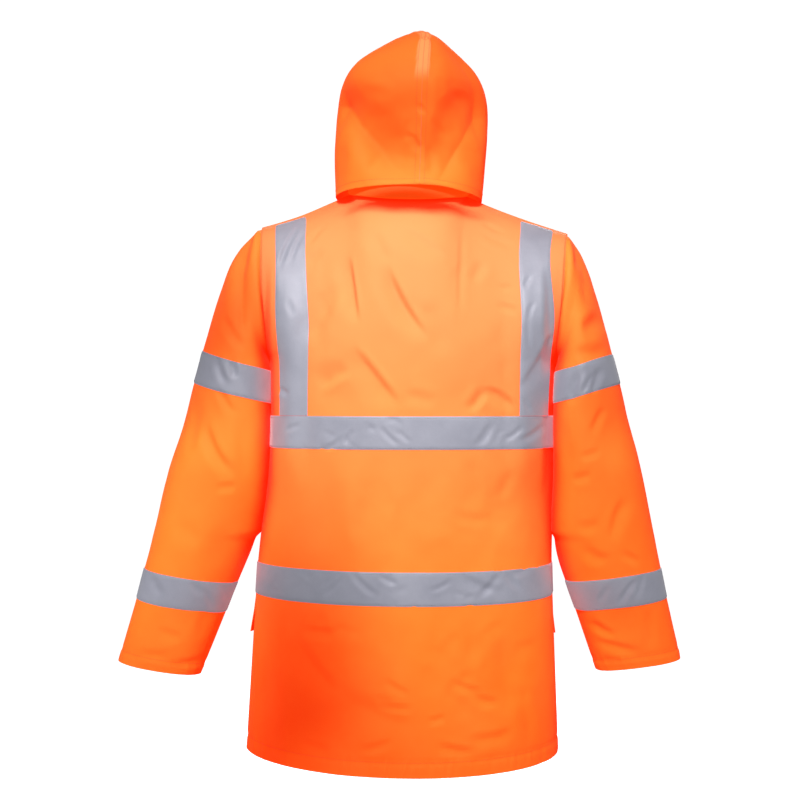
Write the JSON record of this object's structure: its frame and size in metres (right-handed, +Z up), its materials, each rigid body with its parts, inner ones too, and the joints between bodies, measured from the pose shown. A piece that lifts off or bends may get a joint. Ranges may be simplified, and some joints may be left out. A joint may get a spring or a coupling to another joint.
{
  "type": "hi-vis work jacket",
  "caption": "Hooded high-visibility work jacket with reflective tapes over body, braces and sleeves, zip front and flap pockets, hollow as if worn.",
  "frame": {"origin": "on the wearer's spine line, level with the points where the shoulder seams meet the collar, midway between front and back; the jacket is held there on the wearer's shoulders", "axes": "+Z up, the wearer faces -Y, +X is the wearer's left"},
  "size_m": [0.9109, 0.3102, 1.1511],
  "materials": {
    "orange_cloth": "fluorescent orange coated woven polyester, soft sheen",
    "reflective_tape": "silver-grey glass-bead reflective tape, satin",
    "zip_cloth": "matt woven zip tape",
    "zip_metal": "dull metal"
  },
  "bodies": {
    "jacket": {"back": "orange_cloth", "front_left": "orange_cloth", "front_right": "orange_cloth", "sleeve_left": "orange_cloth", "sleeve_right": "orange_cloth", "collar": "orange_cloth", "hood_left": "orange_cloth", "hood_right": "orange_cloth", "tape_waist_back": "reflective_tape", "tape_waist_front_left": "reflective_tape", "tape_waist_front_right": "reflective_tape", "tape_chest_back": "reflective_tape", "tape_chest_front_left": "reflective_tape", "tape_chest_front_right": "reflective_tape", "tape_brace_left": "reflective_tape", "tape_brace_right": "reflective_tape", "tape_upper_sleeve_left": "reflective_tape", "tape_lower_sleeve_left": "reflective_tape", "tape_upper_sleeve_right": "reflective_tape", "tape_lower_sleeve_right": "reflective_tape", "pocket_left": "orange_cloth", "pocket_right": "orange_cloth", "pocket_flap_left": "orange_cloth", "pocket_flap_right": "orange_cloth", "zip_tape_left": "zip_cloth", "zip_tape_right": "zip_cloth", "zip_chain": "zip_metal", "zip_slider": "zip_metal"},
    "pull_tab": {"zip_pull": "zip_metal"}
  },
  "joints": [
    {"name": "pull_tab_hinge", "type": "hinge", "parent": "jacket", "child": "pull_tab", "pos_m": [0.00038, -0.09949, -0.03], "axis": [-1, 0, 0], "range_deg": [0, 170]}
  ]
}
